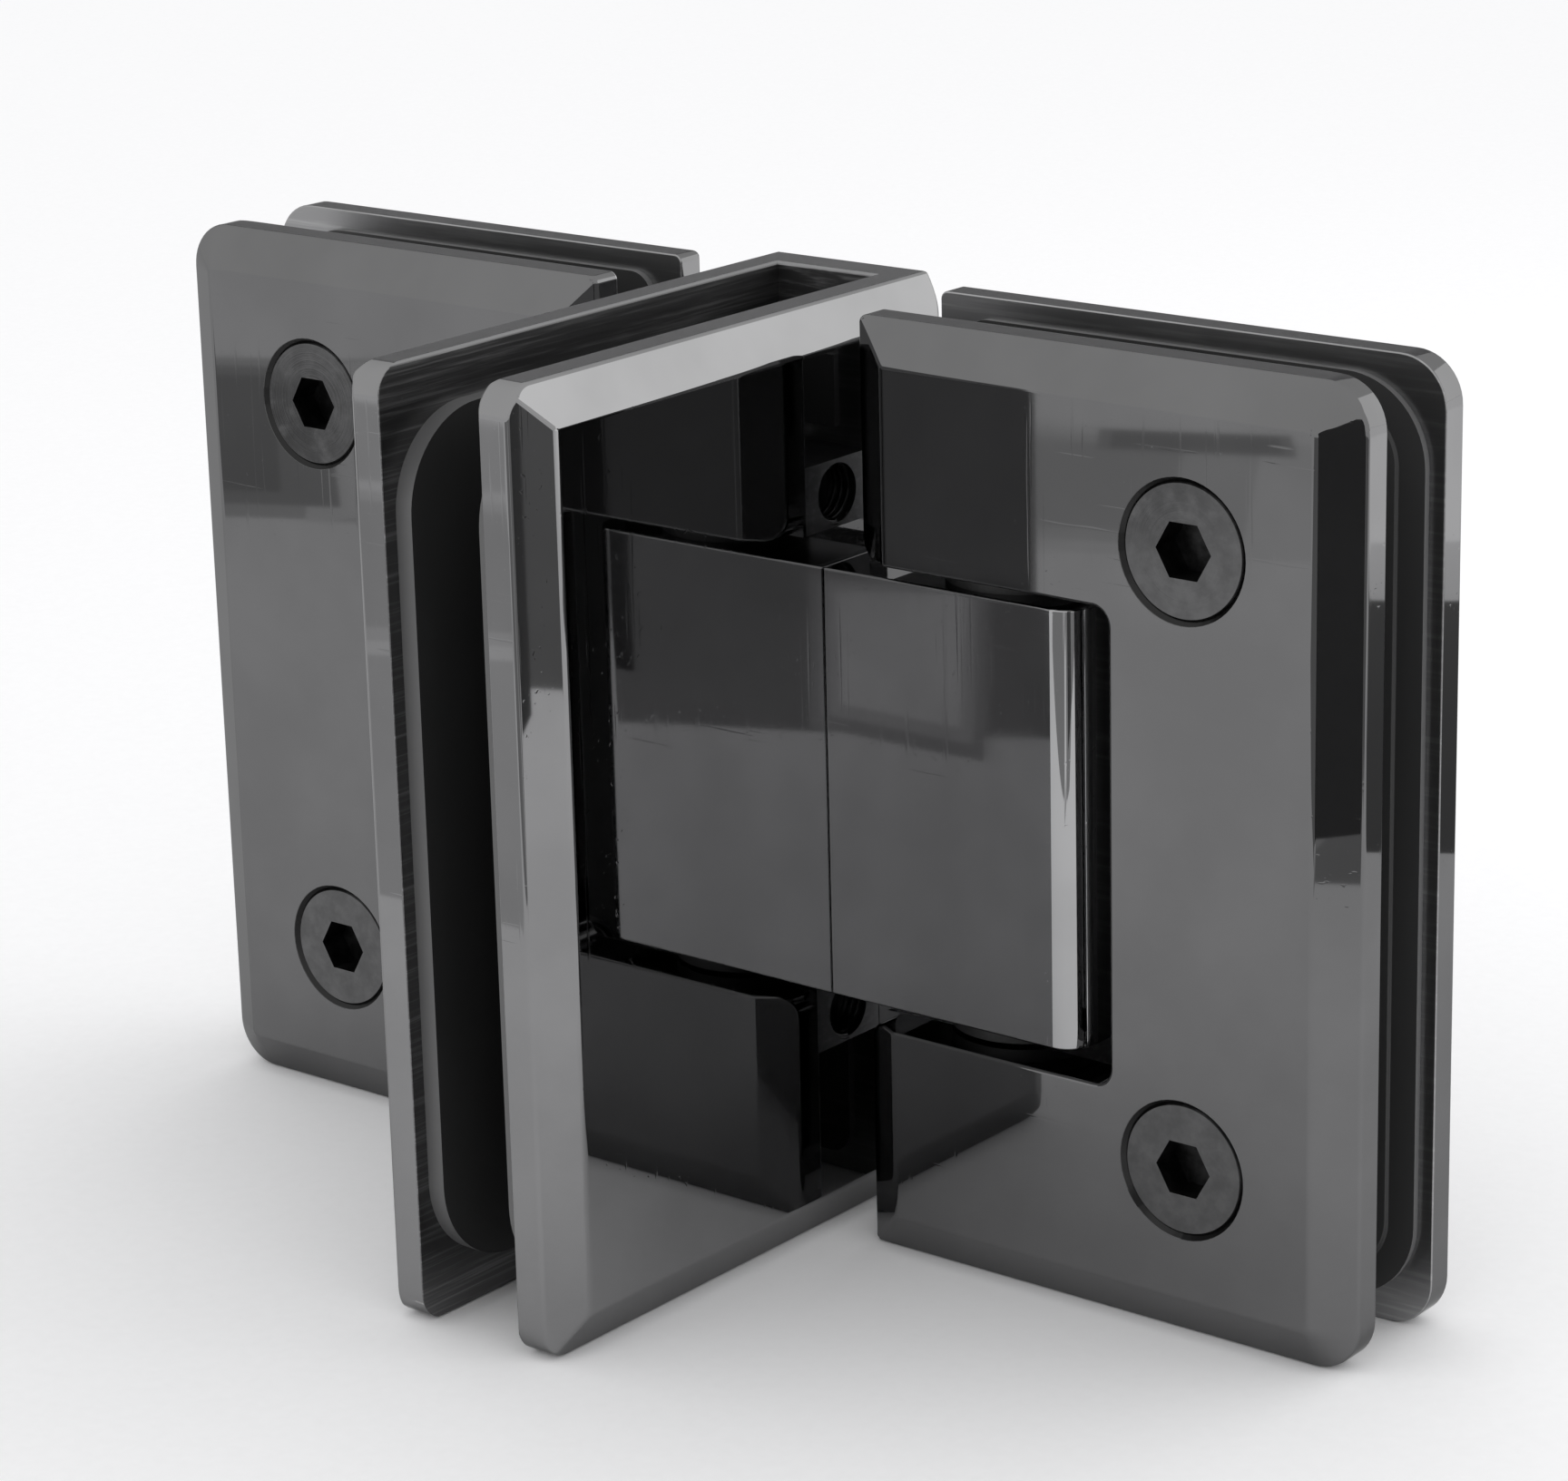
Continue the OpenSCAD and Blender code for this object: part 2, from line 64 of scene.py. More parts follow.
Point = tuple[float, float, float]


class Side(Enum):
    """The two sides of the hinge, with the sign of their X."""

    RIGHT = 1
    LEFT = -1

    @property
    def label(self) -> str:
        """The side's name in the CAD nodes."""
        return self.name.lower()

    def x(self, value: float) -> float:
        """X of a place on this side, from its X on the right side."""
        return self.value * value


class Body(Enum):
    """The CAD bodies that pieces ride on."""

    CENTRE = "centre_clamp"
    RIGHT_LEAF = "right_leaf"
    LEFT_LEAF = "left_leaf"


def leaf_body(side: Side) -> Body:
    """The body of a side's leaf."""
    return Body.RIGHT_LEAF if side is Side.RIGHT else Body.LEFT_LEAF


# ---------------------------------------------------------------- shader maths


@dataclass(frozen=True)
class Signal:
    """A shader output that adds Math nodes when it is used in an expression."""

    graph: "Graph"
    socket: bpy.types.NodeSocket

    def _math(self, operation: str, *values: Any) -> "Signal":
        """A Math node on the given values."""
        return self.graph.add("ShaderNodeMath", {"operation": operation}, dict(enumerate(values)))

    def __add__(self, other: Any) -> "Signal":
        """Sum."""
        return self._math("ADD", self, other)

    __radd__ = __add__

    def __sub__(self, other: Any) -> "Signal":
        """Difference."""
        return self._math("SUBTRACT", self, other)

    def __rsub__(self, other: Any) -> "Signal":
        """Difference from a number."""
        return self._math("SUBTRACT", other, self)

    def __mul__(self, other: Any) -> "Signal":
        """Product."""
        return self._math("MULTIPLY", self, other)

    __rmul__ = __mul__

    def at_least(self, other: Any) -> "Signal":
        """The larger of the two."""
        return self._math("MAXIMUM", self, other)

    def power(self, exponent: float) -> "Signal":
        """Raised to a power."""
        return self._math("POWER", self, exponent)

    def size(self) -> "Signal":
        """The value without its sign."""
        return self._math("ABSOLUTE", self)

    def ramp(self, low: float, high: float, to_low: float = 0.0, to_high: float = 1.0) -> "Signal":
        """Smoothly mapped from one range to another.

        Args:
            low: Value that gives to_low.
            high: Value that gives to_high.
            to_low: Result at and below low.
            to_high: Result at and above high.

        Returns:
            The mapped signal.
        """
        return self.graph.add(
            "ShaderNodeMapRange",
            {"interpolation_type": "SMOOTHSTEP"},
            {"Value": self, "From Min": low, "From Max": high, "To Min": to_low, "To Max": to_high},
        )


class Graph:
    """The node tree of one material, built by calls."""

    def __init__(self, tree: bpy.types.NodeTree) -> None:
        """Takes an empty node tree."""
        self.tree = tree

    def add(
        self,
        kind: str,
        settings: dict[str, Any] | None = None,
        inputs: dict[Any, Any] | None = None,
        output: Any = 0,
    ) -> Signal:
        """Adds one node.

        Args:
            kind: The node's type.
            settings: Its own properties, set first.
            inputs: Values or signals of its input sockets, by name or number.
            output: Name or number of the output to return.

        Returns:
            The chosen output.
        """
        node = self.tree.nodes.new(kind)
        for key, value in (settings or {}).items():
            setattr(node, key, value)
        for key, value in (inputs or {}).items():
            self.put(node.inputs[key], value)
        return Signal(self, node.outputs[output])

    def put(self, socket: bpy.types.NodeSocket, value: Any) -> None:
        """Links a signal to a socket, or sets the socket's own value."""
        if isinstance(value, Signal):
            self.tree.links.new(value.socket, socket)
        else:
            socket.default_value = value

    def place(self, scale: Point = (1, 1, 1), turn: Point = (0, 0, 0)) -> Signal:
        """Object coordinates, scaled and turned."""
        coords = self.add("ShaderNodeTexCoord", output="Object")
        return self.add("ShaderNodeMapping", {}, {"Vector": coords, "Scale": scale, "Rotation": turn})

    def parts(self, vector: Signal) -> tuple[Signal, Signal, Signal]:
        """The X, Y and Z of a vector."""
        node = self.add("ShaderNodeSeparateXYZ", {}, {"Vector": vector}).socket.node
        return tuple(Signal(self, output) for output in node.outputs)

    def noise(self, vector: Signal, scale: float, detail: float = 2.0, rough: float = 0.5) -> Signal:
        """Noise from 0 to 1 on the given coordinates."""
        return self.add(
            "ShaderNodeTexNoise", {}, {"Vector": vector, "Scale": scale, "Detail": detail, "Roughness": rough}
        )

    def colour_mix(self, factor: Any, first: Signal | Point, second: Signal | Point) -> Signal:
        """A colour between two colours, each a signal or three numbers."""
        first, second = (colour if isinstance(colour, Signal) else (*colour, 1.0) for colour in (first, second))
        return self.add("ShaderNodeMix", {"data_type": "RGBA"}, {0: factor, 6: first, 7: second}, output=2)

    def bump(self, height: Signal, strength: float, distance: float, normal: Signal | None = None) -> Signal:
        """A Bump node, on top of another normal where one is given."""
        inputs: dict[Any, Any] = {"Height": height, "Strength": strength, "Distance": distance}
        if normal is not None:
            inputs["Normal"] = normal
        return self.add("ShaderNodeBump", {}, inputs)


def new_material(name: str) -> tuple[bpy.types.Material, Graph, bpy.types.Node]:
    """Makes an empty material.

    Args:
        name: The material's name.

    Returns:
        The material, its graph and its Principled shader.
    """
    material = bpy.data.materials.new(name)
    material.use_nodes = True
    shader = next(n for n in material.node_tree.nodes if n.type == "BSDF_PRINCIPLED")
    return material, Graph(material.node_tree), shader


def grey(value: float) -> Point:
    """A neutral colour."""
    return (value, value, value * 1.01)


def hypotenuse(across: Signal, up: Signal) -> Signal:
    """The distance that two offsets give."""
    return (across * across + up * up).power(0.5)


# ---------------------------------------------------------------- finishes


@dataclass(frozen=True)
class MirrorPlating:
    """Dark nickel plating, buffed to a mirror outside and only ground inside the slots.

    Attributes:
        name: The material's name.
        tone: How much light the plating reflects.
        waviness: Strength of the buffing's slow waves.
        inside_axis: Number of the axis across the slot: 0 for X, 1 for Y; None where all of the piece is polished.
        inside_half: Half of the slot's width, in metres.
        inside_end: Y of the slot's closed end, in metres.
        inside_tone: How much light the ground faces reflect.
        scratches: How strong the streaks on the ground faces are.
        grain: Scale of the ground streaks inside the slot, along X, Y and Z.
        sinks: X and Z of the countersinks, their radius and their mouth's Y, in metres; None where there are none.
        rear_tone: How much light the rear half reflects; None where it is like the front. Where it is set, the front
            half's higher tone is painted light that brightens the reflections on the side toward the camera.
        sink_tone: How much light the walls of the countersinks reflect: nearly none, as painted shade in the gap
            round the screw heads.
        grazing_tint: How much of the light the plating reflects at a grazing angle.
        polish: Roughness of the clean polish.
        smear_polish: What a smear adds to the roughness.
        hair_polish: What a hair scratch adds to it.
        speck_polish: What a speck adds to it.
        ground: What the ground walls of the slot add to it.
        swipe_ground: What the streaks on those walls add to it.
        sink_ground: What the walls of the countersinks add to it.
        edge: How softly the finishes blend, in metres.
        rear_blend: Y where the rear's tone starts and where it is full, in metres.
    """

    name: str
    tone: float
    waviness: float = 0.10
    inside_axis: int | None = None
    inside_half: float = 0.0
    inside_end: float = 1.0
    inside_tone: float = 0.2
    scratches: float = 1.0
    grain: Point = (260, 60, 2600)
    sinks: tuple[float, float, float, float] | None = None
    rear_tone: float | None = None
    sink_tone: float = 0.03
    grazing_tint: float = 0.6
    polish: float = 0.028
    smear_polish: float = 0.026
    hair_polish: float = 0.03
    speck_polish: float = 0.10
    ground: float = 0.24
    swipe_ground: float = 0.22
    sink_ground: float = 0.25
    edge: float = 0.06 * MM
    rear_blend: tuple[float, float] = (-3 * MM, 5 * MM)

    def _inside(self, g: Graph) -> Signal | float:
        """1 on the walls inside the slot, 0 on the polished outside."""
        if self.inside_axis is None:
            return 0.0
        place = g.parts(g.place())
        half, end, edge = self.inside_half, self.inside_end, self.edge
        mask = place[self.inside_axis].size().ramp(half + edge, half + 2 * edge, 1.0, 0.0)
        return mask * place[1].ramp(end + edge, end + 2 * edge, 1.0, 0.0)

    def _in_sinks(self, g: Graph) -> Signal | float:
        """1 on the walls of the countersinks, 0 elsewhere."""
        if self.sinks is None:
            return 0.0
        x, z, radius, mouth = self.sinks
        place = [part.size() for part in g.parts(g.place())]
        reach = hypotenuse(place[0] - x, place[2] - z)
        return reach.ramp(radius, radius + SLACK, 1.0, 0.0) * place[1].ramp(mouth - self.edge, mouth, 1.0, 0.0)

    def _tones(self, g: Graph, inside: Signal | float, sunk: Signal | float, swipes: Signal) -> Signal:
        """The plating's colour, from the masks of its slot, countersinks and streaks."""
        cloud = g.noise(g.place(), 70.0, 3.0, 0.55)
        tone = g.colour_mix(cloud.ramp(0.3, 0.7), grey(self.tone * 0.95), grey(self.tone * 1.05))
        if self.rear_tone is not None:
            behind = g.parts(g.place())[1].ramp(*self.rear_blend)
            tone = g.colour_mix(behind, tone, grey(self.rear_tone))
        dim, bright = self.inside_tone * (1 - self.scratches * 0.4), self.inside_tone * 1.2
        ground = g.colour_mix(swipes.ramp(0.45, 0.75), grey(dim), grey(bright))
        # painted shade: the countersink walls turn nearly black, for the gap round the screw heads
        outside = g.colour_mix(sunk, tone, (self.sink_tone,) * 3)
        return g.colour_mix(inside, outside, ground)

    def make(self) -> bpy.types.Material:
        """Builds the material."""
        material, g, shader = new_material(self.name)
        place = g.place()
        inside = self._inside(g)
        sunk = self._in_sinks(g)
        hairs = g.noise(g.place((1500, 1500, 45), (0.1, 0.05, 0.3)), 1.0, 2.0).ramp(0.62, 0.74)
        hairs_across = g.noise(g.place((60, 1400, 1400), (0.2, 0.4, 0.1)), 1.0, 2.0).ramp(0.66, 0.76)
        specks = g.noise(place, 2600.0, 1.0).ramp(0.74, 0.80)
        smear = g.noise(g.place((1, 1, 0.45), (0.3, 0.2, 0.0)), 38.0, 4.0, 0.6).ramp(0.52, 0.72)
        marks = hairs.at_least(hairs_across)
        swipes = g.noise(g.place(self.grain), 1.0, 3.0, 0.65)
        g.put(shader.inputs["Base Color"], self._tones(g, inside, sunk, swipes))
        shader.inputs["Metallic"].default_value = 1.0
        shader.inputs["Specular Tint"].default_value = (*(self.grazing_tint,) * 3, 1.0)
        polish = self.polish + smear * self.smear_polish + marks * self.hair_polish + specks * self.speck_polish
        ground = swipes * self.swipe_ground * self.scratches + self.ground
        g.put(shader.inputs["Roughness"], polish + ground * inside + self.sink_ground * sunk)
        normal = g.bump(g.noise(place, 26.0, 1.0), self.waviness, 0.0006)
        normal = g.bump(swipes * inside * self.scratches - marks * 0.1, 0.35, 0.00004, normal)
        g.put(shader.inputs["Normal"], normal)
        return material


@dataclass(frozen=True)
class ScrewPlating:
    """Dark plating of a countersunk screw: a ground face, and a rough rim and socket that are darker as painted
    shade.

    Attributes:
        name: The material's name.
        tone: How much light the face reflects.
        screw_x: X of the screws' axes, without its sign, in metres.
        screw_z: Z of the screws' axes, without its sign, in metres.
        face_y: Y of the heads' faces, without its sign, in metres.
        socket_radius: Radius round the socket's corners, in metres.
        head_radius: Radius of the polished face, in metres.
        edge: How softly face, rim and socket blend, in metres.
    """

    name: str
    tone: float
    screw_x: float
    screw_z: float
    face_y: float
    socket_radius: float
    head_radius: float
    edge: float = 0.05 * MM

    def make(self) -> bpy.types.Material:
        """Builds the material."""
        material, g, shader = new_material(self.name)
        place = [part.size() for part in g.parts(g.place())]
        x, z = place[0] - self.screw_x, place[2] - self.screw_z
        reach = hypotenuse(x, z)
        depth = self.face_y - place[1]
        in_socket = reach.ramp(self.socket_radius, self.socket_radius + self.edge, 1.0, 0.0)
        socket = in_socket * depth.ramp(0.03 * MM, 0.08 * MM)
        rim = reach.ramp(self.head_radius - self.edge, self.head_radius + self.edge)
        dull_and_shaded = socket.at_least(rim)
        rings = g.add("ShaderNodeCombineXYZ", {}, {"X": reach, "Y": x * 0.1, "Z": z * 0.1})
        rings = g.noise(g.add("ShaderNodeMapping", {}, {"Vector": rings, "Scale": (5200, 900, 900)}), 1.0, 2.0)
        blotch = g.noise(g.place(), 420.0, 4.0, 0.65)
        bright = g.colour_mix(blotch.ramp(0.3, 0.75), grey(self.tone * 0.8), grey(self.tone * 1.12))
        # painted shade: the rim next to the countersink gap and the hex socket take this darker colour, as the shade
        # in the gap and the recess; the same mask also makes them rougher
        dark = g.colour_mix(blotch.ramp(0.35, 0.7), grey(self.tone * 0.14), grey(self.tone * 0.42))
        g.put(shader.inputs["Base Color"], g.colour_mix(dull_and_shaded, bright, dark))
        shader.inputs["Metallic"].default_value = 1.0
        g.put(shader.inputs["Roughness"], 0.07 + rings * 0.06 + blotch.ramp(0.5, 0.8) * 0.1 + dull_and_shaded * 0.34)
        g.put(shader.inputs["Normal"], g.bump(rings + blotch * dull_and_shaded, 0.18, 0.00002))
        return material


@dataclass(frozen=True)
class TurnedSteel:
    """Turned or ground steel with fine rings.

    Attributes:
        name: The material's name.
        tone: How much light the steel reflects.
        roughness: Mean roughness.
        rings: How fine the rings along Z are.
    """

    name: str
    tone: float
    roughness: float = 0.24
    rings: float = 5200.0

    def make(self) -> bpy.types.Material:
        """Builds the material."""
        material, g, shader = new_material(self.name)
        lines = g.noise(g.place((120, 120, self.rings)), 1.0, 2.0)
        blotch = g.noise(g.place(), 240.0, 3.0, 0.6)
        colour = g.colour_mix(blotch.ramp(0.35, 0.7), grey(self.tone * 0.8), grey(self.tone * 1.1))
        g.put(shader.inputs["Base Color"], colour)
        shader.inputs["Metallic"].default_value = 1.0
        g.put(shader.inputs["Roughness"], self.roughness * 0.8 + lines * self.roughness * 0.5)
        g.put(shader.inputs["Normal"], g.bump(lines, 0.3, 0.00002))
        return material


@dataclass(frozen=True)
class SheetGasket:
    """Dark gasket sheet: matt and grained, with a paler cut edge and pressed steps along its outline.

    Attributes:
        name: The material's name.
        face: Grey of the faces.
        edge: Grey of the cut edges.
        across: Number of the axis across the sheet: 0 for X, 1 for Y.
        outline: X, or Y, and Z of the middle of the round outer corners, without sign, in metres.
        corner: Radius of those corners, in metres.
        steps: How far inside the outline the pressed steps lie, in metres.
        step_width: Width of each step's slope, in metres.
    """

    name: str
    face: float
    edge: float
    across: int
    outline: tuple[float, float]
    corner: float
    steps: tuple[float, ...] = (2.6 * MM, 4.9 * MM)
    step_width: float = 0.5 * MM

    def make(self) -> bpy.types.Material:
        """Builds the material."""
        material, g, shader = new_material(self.name)
        place = g.parts(g.place())
        along = (place[1 - self.across].size() - self.outline[0]).at_least(0.0)
        up = (place[2].size() - self.outline[1]).at_least(0.0)
        inset = self.corner - hypotenuse(along, up)
        facing = g.parts(g.add("ShaderNodeTexCoord", output="Normal"))[self.across].size()
        cut = facing.ramp(0.6, 0.8, 1.0, 0.0)
        grain = g.noise(g.place(), 1900.0, 4.0, 0.65)
        stain = g.noise(g.place((1, 1, 0.5)), 60.0, 3.0, 0.6)
        height: Signal | float = 0.0
        for step in self.steps:
            height = inset.ramp(step, step + self.step_width) + height
        pale = (cut + (stain * 0.5 + grain * 0.3).ramp(0.35, 0.8) * 0.3 + height * 0.16).ramp(0.0, 1.0)
        g.put(shader.inputs["Base Color"], g.colour_mix(pale, grey(self.face), grey(self.edge)))
        g.put(shader.inputs["Roughness"], 0.36 + stain.ramp(0.3, 0.8) * 0.2)
        shader.inputs["Specular IOR Level"].default_value = 0.5
        g.put(shader.inputs["Normal"], g.bump(height, 1.0, 0.0005, g.bump(grain, 0.35, 0.00004)))
        return material


@dataclass(frozen=True)
class NylonBush:
    """Dark moulded nylon with a faint grain.

    Attributes:
        name: The material's name.
        tone: Grey of the nylon.
    """

    name: str
    tone: float

    def make(self) -> bpy.types.Material:
        """Builds the material."""
        material, g, shader = new_material(self.name)
        grain = g.noise(g.place(), 3200.0, 3.0, 0.6)
        colour = g.colour_mix(grain.ramp(0.3, 0.7), grey(self.tone * 0.8), grey(self.tone * 1.25))
        g.put(shader.inputs["Base Color"], colour)
        g.put(shader.inputs["Roughness"], 0.38 + grain * 0.2)
        g.put(shader.inputs["Normal"], g.bump(grain, 0.25, 0.00003))
        return material


class Finishes:
    """All the finishes of the hinge, made once."""

    def __init__(self, channel: "ChannelSizes", leaf: "LeafSizes") -> None:
        """Builds the materials."""
        self.leaf = MirrorPlating(
            "leaf_plating",
            tone=0.16,
            inside_axis=1,
            inside_half=leaf.slot_half,
            inside_tone=0.34,
            scratches=0.25,
            grain=(60, 900, 1700),
            sinks=(leaf.screw_x, leaf.screw_z, leaf.screw_hole, leaf.face_y),
        ).make()
        # painted light: the knuckle's front half reflects twice as much as its rear, to brighten the reflections on
        # its camera side
        self.knuckle = MirrorPlating("knuckle_plating", tone=0.38, waviness=0.05, rear_tone=0.19).make()
        self.channel = MirrorPlating(
            "channel_plating",
            tone=0.245,
            inside_axis=0,
            inside_half=channel.slot_half,
            inside_end=channel.slot_end,
            inside_tone=0.22,
        ).make()
        self.screw = ScrewPlating(
            "screw_plating",
            tone=0.12,
            screw_x=leaf.screw_x,
            screw_z=leaf.screw_z,
            face_y=leaf.head_y,
            socket_radius=leaf.socket_radius,
            head_radius=leaf.head_radius,
        ).make()
        self.pin = TurnedSteel("pin_steel", tone=0.55).make()
        self.black_steel = TurnedSteel("blackened_steel", tone=0.16, roughness=0.34, rings=2600.0).make()
        self.spring = TurnedSteel("spring_steel", tone=0.5, roughness=0.28, rings=1200.0).make()
        self.thread = TurnedSteel("thread_plating", tone=0.2, roughness=0.2).make()
        self.channel_gasket = SheetGasket(
            "channel_gasket_sheet",
            face=0.02,
            edge=0.1,
            across=0,
            outline=(channel.gasket_corner_y, channel.gasket_corner_z),
            corner=channel.gasket_corner,
            steps=(),
        ).make()
        self.leaf_gasket = SheetGasket(
            "leaf_gasket_sheet",
            face=0.034,
            edge=0.13,
            across=1,
            outline=(leaf.gasket_corner_x, leaf.gasket_corner_z),
            corner=leaf.gasket_corner,
        ).make()
        self.bush = NylonBush("bush_nylon", tone=0.02).make()


# ---------------------------------------------------------------- meshes and pieces


def paint(node: bpy.types.Object, material: bpy.types.Material) -> None:
    """Gives a CAD node its finish, in the slots that it has."""
    if not node.material_slots:
        node.data.materials.append(material)
    for slot in node.material_slots:
        slot.material = material


@dataclass(frozen=True)
class Softener:
    """Rebuilds a CAD node as a merged copy whose edges are rounded by real geometry.

    Attributes:
        width: Width of the rounding where the share is 1, in metres.
        segments: Faces across a rounded edge.
        limit: Edges that turn more than this are rounded, in degrees.
        turn: Faces that turn less than this from each other are shaded as one, in degrees.
        narrow: A face is flat where it is wider than this, in metres.
        weld: Points closer than this are one, in metres.
        flat: Faces that turn less than this are joined into one flat face, in degrees.
        passes: How often folded triangles are looked for.
        same_plane: Faces lie in one plane where their normals' product is above this.
    """

    width: float = 0.34 * MM
    segments: int = 3
    limit: float = 20.0
    turn: float = 40.0
    narrow: float = 0.7 * MM
    weld: float = 0.0002 * MM
    flat: float = 1.0
    passes: int = 12
    same_plane: float = 0.9999

    def build(
        self,
        node: bpy.types.Object,
        name: str,
        material: bpy.types.Material,
        share: Callable[[Vector], float],
    ) -> bpy.types.Object:
        """Makes the softened copy.

        Args:
            node: The CAD node to copy.
            name: Name of the piece.
            material: Its finish.
            share: The share of the width that edges have at a place.

        Returns:
            The finished piece, at the origin.
        """
        shell = bmesh.new()
        shell.from_mesh(node.data)
        bmesh.ops.remove_doubles(shell, verts=shell.verts, dist=self.weld)
        bmesh.ops.dissolve_limit(
            shell, angle_limit=math.radians(self.flat), verts=shell.verts, edges=shell.edges, delimit=set()
        )
        bmesh.ops.recalc_face_normals(shell, faces=shell.faces)
        weights = shell.edges.layers.float.new("bevel_weight_edge")
        for face in shell.faces:
            face.smooth = True
        for edge in shell.edges:
            if edge.calc_face_angle(0.0) > math.radians(self.limit):
                edge[weights] = min(share(vert.co) for vert in edge.verts)
                edge.smooth = edge[weights] > 0.0
        mesh = bpy.data.meshes.new(name)
        shell.to_mesh(mesh)
        shell.free()
        mesh.materials.clear()
        mesh.materials.append(material)
        piece = bpy.data.objects.new(name, mesh)
        bpy.context.collection.objects.link(piece)
        rounding = piece.modifiers.new("rounding", "BEVEL")
        rounding.width = self.width
        rounding.segments = self.segments
        rounding.limit_method = "WEIGHT"
        rounding.use_clamp_overlap = False
        graph = bpy.context.evaluated_depsgraph_get()
        final = bpy.data.meshes.new_from_object(piece.evaluated_get(graph), depsgraph=graph)
        piece.modifiers.clear()
        piece.data = final
        final.name = name
        bpy.data.meshes.remove(mesh)
        self._smooth(final)
        return piece

    def _unfold(self, shell: bmesh.types.BMesh, plane: bmesh.types.BMLayerItem) -> None:
        """Turns the long edges of folded triangles, so that a fold stays in the corner that it comes from.

        Args:
            shell: The triangles.
            plane: Layer with the normal of each triangle's flat face.
        """
        for _ in range(self.passes):
            shell.normal_update()
            for face in [face for face in shell.faces if face.normal.dot(face[plane]) < 0.0]:
                if not face.is_valid:
                    continue
                edge = max(face.edges, key=lambda side: side.calc_length())
                pair = edge.link_faces
                if len(pair) != 2 or pair[0][plane].dot(pair[1][plane]) < self.same_plane:
                    continue
                ends = [vert for other in pair for vert in other.verts if vert not in edge.verts]
                if (ends[0].co - ends[1].co).length < edge.calc_length():
                    bmesh.utils.edge_rotate(edge, True)

    def _smooth(self, mesh: bpy.types.Mesh) -> None:
        """Splits the mesh into triangles, keeps the flat faces flat and lets the narrow ones turn smoothly.

        Args:
            mesh: The rounded mesh; its corner normals are set.
        """
        shell = bmesh.new()
        shell.from_mesh(mesh)
        plane = shell.faces.layers.float_vector.new("plane")
        flat = shell.faces.layers.int.new("flat")
        for face in shell.faces:
            face[plane] = face.normal
            face[flat] = int(face.calc_area() > self.narrow * max(edge.calc_length() for edge in face.edges))
        bmesh.ops.triangulate(shell, faces=shell.faces[:], quad_method="BEAUTY", ngon_method="BEAUTY")
        self._unfold(shell, plane)
        reach = math.cos(math.radians(self.turn))
        normals: list[Vector] = []
        for face in shell.faces:
            own = face[plane]
            for loop in face.loops:
                near = [other for other in loop.vert.link_faces if other[plane].dot(own) > reach]
                broad = [other for other in near if other[flat]]
                if face[flat] or not near:
                    normals.append(own.copy())
                elif broad:
                    normals.append(max(broad, key=lambda other: other[plane].dot(own))[plane].copy())
                else:
                    normals.append(sum((other[plane] * other.calc_area() for other in near), Vector()).normalized())
        shell.faces.layers.float_vector.remove(plane)
        shell.faces.layers.int.remove(shell.faces.layers.int["flat"])
        shell.to_mesh(mesh)
        shell.free()
        mesh.normals_split_custom_set(normals)


def seat(piece: bpy.types.Object, body: Body) -> bpy.types.Object:
    """Lets a piece ride on a body and reports it."""
    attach(piece, body.value)
    LOG.info("piece %s rides on %s", piece.name, body.value)
    return piece


